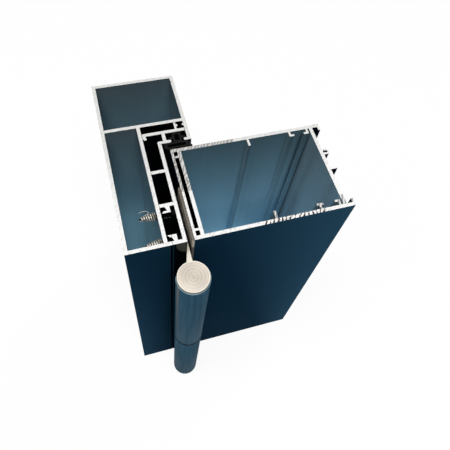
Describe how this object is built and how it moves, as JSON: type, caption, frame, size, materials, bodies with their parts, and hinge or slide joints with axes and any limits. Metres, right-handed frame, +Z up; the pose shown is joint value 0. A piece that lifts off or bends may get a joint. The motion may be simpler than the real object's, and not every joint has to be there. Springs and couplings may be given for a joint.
{
  "type": "door profile sample with barrel hinge",
  "caption": "Cut sample of a metal entrance door's hinge side: hollow frame profile with clip-on rebate and seal, hollow leaf profile, and a barrel hinge that joins them.",
  "frame": {"origin": "on the floor, under the middle of the sample's box", "axes": "+X across the door from the frame to the leaf, +Y to the back, +Z up along the profiles; the barrel stands at the front, on -Y"},
  "size_m": [0.1254, 0.1354, 0.21],
  "materials": {
    "profile": "satin dark blue coating, bare silver saw cuts",
    "seal": "matt",
    "bare_metal": "turned",
    "sleeve": "satin blue coating",
    "plate_metal": "dull",
    "steel": "plated",
    "ring": "matt"
  },
  "bodies": {
    "frame": {"frame_profile": "profile", "rebate_profile": "profile", "rebate_seal": "seal", "upper_knuckle": "bare_metal", "upper_sleeve": "sleeve", "hinge_pin": "steel", "joint_ring": "ring", "drill_screw_back": "steel", "drill_screw_front": "steel", "strap_screw_top": "steel", "strap_screw_mid": "steel", "strap_screw_low": "steel"},
    "leaf": {"leaf_profile": "profile", "lower_knuckle": "plate_metal", "lower_sleeve": "sleeve", "plate_screw_top": "steel", "plate_screw_mid": "steel", "plate_screw_low": "steel"}
  },
  "joints": [
    {"name": "leaf_swing", "type": "hinge", "parent": "frame", "child": "leaf", "pos_m": [-0.03105, -0.0585, 0.105], "axis": [0, 0, -1], "range_deg": [0, 180]}
  ]
}
